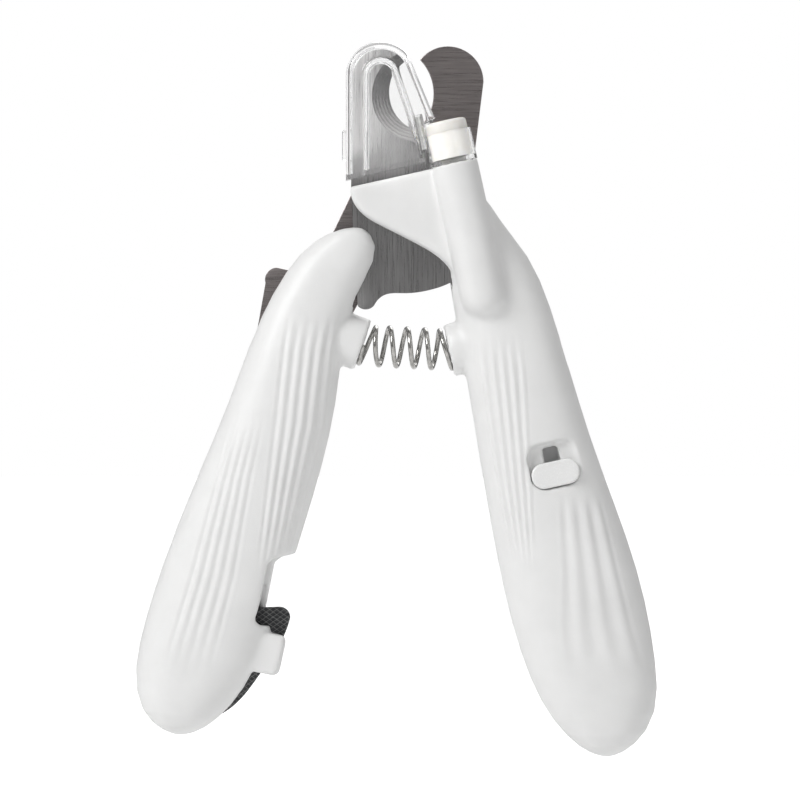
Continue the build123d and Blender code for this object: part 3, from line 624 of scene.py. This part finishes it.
def clear_catcher(material):
    """Clear cover with a ledge round a raised window, a finger tab and a hinge knuckle.

    It departs from the CAD cover by up to 1.6 mm, and at its right edge it cuts into the lamp's lens."""
    work = bmesh.new()
    rings = {}
    for wall, profile in ((0.0, CATCHER_OUTSIDE), (CATCHER_WALL, CATCHER_INSIDE)):
        contours = [catcher_ring(inset, depth, wall) for inset, depth in profile]
        for point in contours[0]:
            entry = smoothstep(point.x, -2.0, 0.0) * smoothstep(point.z, 13.0, 14.5)
            point.y -= CLAW_RELIEF * float(entry)
        rings[wall] = [[work.verts.new(mm_point(point)) for point in contour] for contour in contours]
    count = len(rings[0.0][0])
    bridges = [(rings[CATCHER_WALL][0], rings[0.0][0])]
    for shell in rings.values():
        bridges += list(zip(shell, shell[1:]))
        work.faces.new(shell[-1])
    for first, second in bridges:
        for n in range(count):
            work.faces.new((first[n], first[(n + 1) % count], second[(n + 1) % count], second[n]))
    bmesh.ops.recalc_face_normals(work, faces=work.faces)
    bmesh.ops.triangulate(work, faces=[f for f in work.faces if len(f.verts) > 4])
    mesh = bpy.data.meshes.new("clear_catcher")
    work.to_mesh(mesh)
    work.free()
    piece = new_piece("clear_catcher", mesh)
    hinge = []
    for along in HINGE_ENDS:
        x, z = tilted(HINGE_ACROSS, along)
        hinge.append(Vector((x, HINGE_Y, z)))
    combined(piece, ("UNION", rounded_block(*FINGER_TAB, TAB_ROUNDING)),
             ("DIFFERENCE", cylinder(hinge[0], hinge[1], HINGE_ROOM)),
             ("UNION", cylinder(hinge[1], hinge[2], KNUCKLE)))
    piece.data.shade_smooth()
    piece.data.set_sharp_from_angle(angle=radians(38))
    piece.data.materials.clear()
    piece.data.materials.append(material)
    return stand_in(piece, "nail_catcher", "nail_catcher")


def tube(name, path, radius, sides, material):
    """A round wire along a path of points, with domed ends."""
    path = [mm_point(p) for p in path]
    radius *= MM
    work = bmesh.new()
    rings = []
    side = None
    for k, point in enumerate(path):
        ahead = path[min(k + 1, len(path) - 1)] - path[max(k - 1, 0)]
        ahead.normalize()
        side = Vector((0, 1, 0)).cross(ahead) if side is None else side - ahead * side.dot(ahead)
        side.normalize()
        up = ahead.cross(side)
        ring = [work.verts.new(point + (side * cos(tau * n / sides) + up * sin(tau * n / sides)) * radius)
                for n in range(sides)]
        rings.append(ring)
    for ring, after in zip(rings, rings[1:]):
        for n in range(sides):
            work.faces.new((ring[n], ring[(n + 1) % sides], after[(n + 1) % sides], after[n]))
    for ring, end, away in ((rings[0], path[0], path[0] - path[1]), (rings[-1], path[-1], path[-1] - path[-2])):
        tip = work.verts.new(end + away.normalized() * radius * 0.5)
        for n in range(sides):
            work.faces.new((ring[(n + 1) % sides], ring[n], tip))
    bmesh.ops.recalc_face_normals(work, faces=work.faces)
    mesh = bpy.data.meshes.new(name)
    work.to_mesh(mesh)
    work.free()
    mesh.shade_smooth()
    mesh.materials.append(material)
    return new_piece(name, mesh)


# ---------------------------------------------------------------- pieces

def boss_axis(angle, towards):
    """Centre of a spring boss's face, and the direction that it faces."""
    centre = Vector((cos(angle), 0.0, sin(angle))) * SPRING_REACH
    return centre, Vector((-sin(angle), 0.0, cos(angle))) * towards


def coil_spring(material):
    """Open coil whose end turns lean with the two bosses.

    It has more turns than the CAD spring. With the handles closed they run into each other
    and into the bosses."""
    left, left_out = boss_axis(LEFT_BOSS_ANGLE, 1.0)
    right, right_out = boss_axis(RIGHT_BOSS_ANGLE, -1.0)
    start, end = left - left_out * LEFT_SEATED, right - right_out * RIGHT_SEATED
    steps = int(TURNS * STEPS_PER_TURN)
    closed = CLOSED_TURNS / TURNS
    straight = (end - start).normalized()
    path = []
    for k in range(steps + 1):
        turn = k / steps
        rise = float(np.interp(turn, (0.0, closed, 1.0 - closed, 1.0),
                               (0.0, CLOSED_RISE, 1.0 - CLOSED_RISE, 1.0)))
        rise_left = float(smoothstep(rise, *LEAN_SPAN))
        rise_right = float(1.0 - smoothstep(1.0 - rise, *LEAN_SPAN))
        axis = left_out.lerp(straight, rise_left).lerp(-right_out, rise_right).normalized()
        up = Vector((-axis.z, 0.0, axis.x))
        angle = tau * (TURNS * turn - CLOSED_TURNS - FIRST_TURN)
        centre = start.lerp(end, rise)
        path.append(centre + (up * cos(angle) - Vector((0, 1, 0)) * sin(angle)) * COIL_RADIUS)
    spring = tube("return_coil", path, WIRE_RADIUS, 14, material)
    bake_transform(spring)
    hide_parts("return_spring")
    return spring


def paint(node, material):
    """Gives a carried-over CAD node its material."""
    piece = nodes[node]
    if not piece.material_slots:
        piece.data.materials.append(material)
    for slot in piece.material_slots:
        slot.link = "OBJECT"
        slot.material = material


def floor():
    """A plain white disc below the lowest pose."""
    low = box_before[0].z - FLOOR_DROP * MM
    corners = []
    for n in range(FLOOR_SIDES):
        angle = tau * n / FLOOR_SIDES
        corners.append((FLOOR_REACH * cos(angle), FLOOR_REACH * sin(angle), low))
    mesh = bpy.data.meshes.new("floor")
    mesh.from_pydata(corners, [], [tuple(range(FLOOR_SIDES))])
    shader = Shader("floor_paper")
    grain = shader.noise(shader.place, 0.02, 3.0)
    path = shader.tree.nodes.new("ShaderNodeLightPath")
    glow = shader.math("MULTIPLY", path.outputs["Is Camera Ray"], FLOOR_GLOW)
    shader.set(Base_Color=shader.ramp(grain, (0.3, (0.93, 0.93, 0.93)), (0.7, (0.95, 0.95, 0.95))),
               Roughness=0.9, Emission_Color=(1.0, 1.0, 1.0, 1.0), Emission_Strength=glow)
    mesh.materials.append(shader.material)
    new_piece("floor", mesh)


def surroundings():
    """White to the eye and through clear plastic, and graded for everything that it lights."""
    world = bpy.data.worlds.new("studio")
    bpy.context.scene.world = world
    world.use_nodes = True
    tree = world.node_tree
    tree.nodes.clear()
    link = tree.links.new
    output = tree.nodes.new("ShaderNodeOutputWorld")
    seen = tree.nodes.new("ShaderNodeBackground")
    seen.inputs["Color"].default_value = (1.0, 1.0, 1.0, 1.0)
    seen.inputs["Strength"].default_value = 1.0
    light = tree.nodes.new("ShaderNodeBackground")
    light.inputs["Strength"].default_value = SKY_STRENGTH

    where = tree.nodes.new("ShaderNodeTexCoord")
    split = tree.nodes.new("ShaderNodeSeparateXYZ")
    height = tree.nodes.new("ShaderNodeMath")
    height.operation = "MULTIPLY_ADD"
    height.inputs[1].default_value = 0.5
    height.inputs[2].default_value = 0.5
    grade = tree.nodes.new("ShaderNodeValToRGB")
    while len(grade.color_ramp.elements) < len(SKY):
        grade.color_ramp.elements.new(0.5)
    for element, (at, level) in zip(grade.color_ramp.elements, SKY):
        element.position = at
        element.color = (level, level, level, 1.0)
    link(where.outputs["Generated"], split.inputs[0])
    link(split.outputs[2], height.inputs[0])
    link(height.outputs[0], grade.inputs["Fac"])
    link(grade.outputs["Color"], light.inputs["Color"])

    path = tree.nodes.new("ShaderNodeLightPath")
    direct = tree.nodes.new("ShaderNodeMath")
    direct.operation = "MAXIMUM"
    mixed = tree.nodes.new("ShaderNodeMixShader")
    link(path.outputs["Is Camera Ray"], direct.inputs[0])
    link(path.outputs["Is Transmission Ray"], direct.inputs[1])
    link(direct.outputs[0], mixed.inputs["Fac"])
    link(light.outputs[0], mixed.inputs[1])
    link(seen.outputs[0], mixed.inputs[2])
    link(mixed.outputs[0], output.inputs["Surface"])


def soft_lights():
    """Large round lights aimed at the object's middle."""
    centre = mm_point(FRAME_CENTRE)
    for name, offset, diameter, power in LIGHTS:
        data = bpy.data.lights.new(name, "AREA")
        data.shape = "DISK"
        data.size = diameter
        data.energy = power
        lamp = bpy.data.objects.new(name, data)
        bpy.context.scene.collection.objects.link(lamp)
        lamp.location = centre + Vector(offset)
        lamp.rotation_euler = (centre - lamp.location).to_track_quat("-Z", "Y").to_euler()


def front_camera():
    """Looks level at the trimmer's front from nearly a metre away."""
    data = bpy.data.cameras.new("camera")
    data.lens = LENS
    data.sensor_width = SENSOR
    data.clip_start = 0.01
    data.clip_end = 50.0
    camera = bpy.data.objects.new("camera", data)
    bpy.context.scene.collection.objects.link(camera)
    distance = FRAME_WIDTH / 2 * LENS / (SENSOR / 2)
    camera.location = mm_point(FRAME_CENTRE - Vector((0.0, distance, 0.0)))
    camera.rotation_euler = (pi / 2, 0.0, 0.0)
    bpy.context.scene.camera = camera


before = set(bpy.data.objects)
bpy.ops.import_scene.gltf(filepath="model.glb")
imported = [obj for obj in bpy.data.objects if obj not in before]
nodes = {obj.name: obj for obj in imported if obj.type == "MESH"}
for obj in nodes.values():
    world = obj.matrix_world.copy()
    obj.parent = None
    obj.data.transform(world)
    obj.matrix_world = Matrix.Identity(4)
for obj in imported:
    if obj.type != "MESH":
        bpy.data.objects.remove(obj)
box_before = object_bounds()
screw_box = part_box("pivot_screw")
file_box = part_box("nail_file")
pivot = (screw_box[0] + screw_box[1]) / 2
pivot.y = (file_box[0].y + file_box[1].y) / 2

white = moulded("white_shell", (0.76, 0.76, 0.755), (0.79, 0.79, 0.785), 0.42)
white_knob = moulded("white_knob", (0.79, 0.79, 0.785), (0.82, 0.82, 0.815), 0.24, 0.006)
inner = moulded("inner_plastic", (0.66, 0.66, 0.65), (0.72, 0.72, 0.71), 0.5)
switch_grey = moulded("switch_grey", (0.6, 0.6, 0.6), (0.66, 0.66, 0.66), 0.4)
insulation = moulded("wire_insulation", (0.35, 0.02, 0.02), (0.45, 0.03, 0.025), 0.35, 0.01)
front_steel = brushed("front_blade_steel", (0.225, 0.22, 0.22), (0.38, 0.375, 0.375), 2, 0.3, BEVEL_CENTRE)
rear_steel = brushed("rear_blade_steel", (0.23, 0.208, 0.205), (0.37, 0.335, 0.33), 0, 0.3)
nickel = turned("bright_steel", (0.52, 0.52, 0.51), (0.68, 0.68, 0.67), 0.24)
spring_steel = turned("spring_wire", (0.34, 0.335, 0.32), (0.6, 0.59, 0.57), 0.16)
cell_steel = turned("cell_steel", (0.5, 0.5, 0.49), (0.7, 0.7, 0.69), 0.3)
clear = clear_plastic("clear_plastic")

skin("left_front_skin", "left_front_shell", "left_handle", white, left_folds)
skin("left_rear_skin", "left_rear_shell", "left_handle", white)
skin("right_front_skin", "right_front_shell", "right_handle", white, right_folds, True)
skin("right_rear_skin", "right_rear_shell", "right_handle", white)
polished("front_hook_blade", "front_blade", "right_handle", front_steel)
polished("rear_hook_blade", "rear_blade", "left_handle", rear_steel)
clear_catcher(clear)
cut_file(diamond_file("file_steel"))
coil_spring(spring_steel)

for node, material in (
        ("lamp_sleeve", clear), ("lamp_lens", frosted_lens("frosted_lens")),
        ("lamp_led", lamp_epoxy("lamp_epoxy")),
        ("lamp_board", circuit_board("board")), ("lamp_wires", insulation), ("switch_body", switch_grey),
        ("switch_knob", white_knob), ("battery_cells", cell_steel), ("battery_contacts", nickel),
        ("battery_tray", inner), ("battery_door", white), ("battery_door_screw", nickel),
        ("catcher_hinge_pin", nickel), ("pivot_screw", nickel), ("pivot_washer", nickel),
        ("pivot_nut", nickel), ("file_pin", nickel),
        ("right_shell_screws", nickel), ("front_blade_screws", nickel),
        ("left_shell_screws", nickel), ("rear_blade_screws", nickel)):
    paint(node, material)

floor()
surroundings()
soft_lights()
front_camera()
bpy.context.scene.view_settings.view_transform = "Standard"
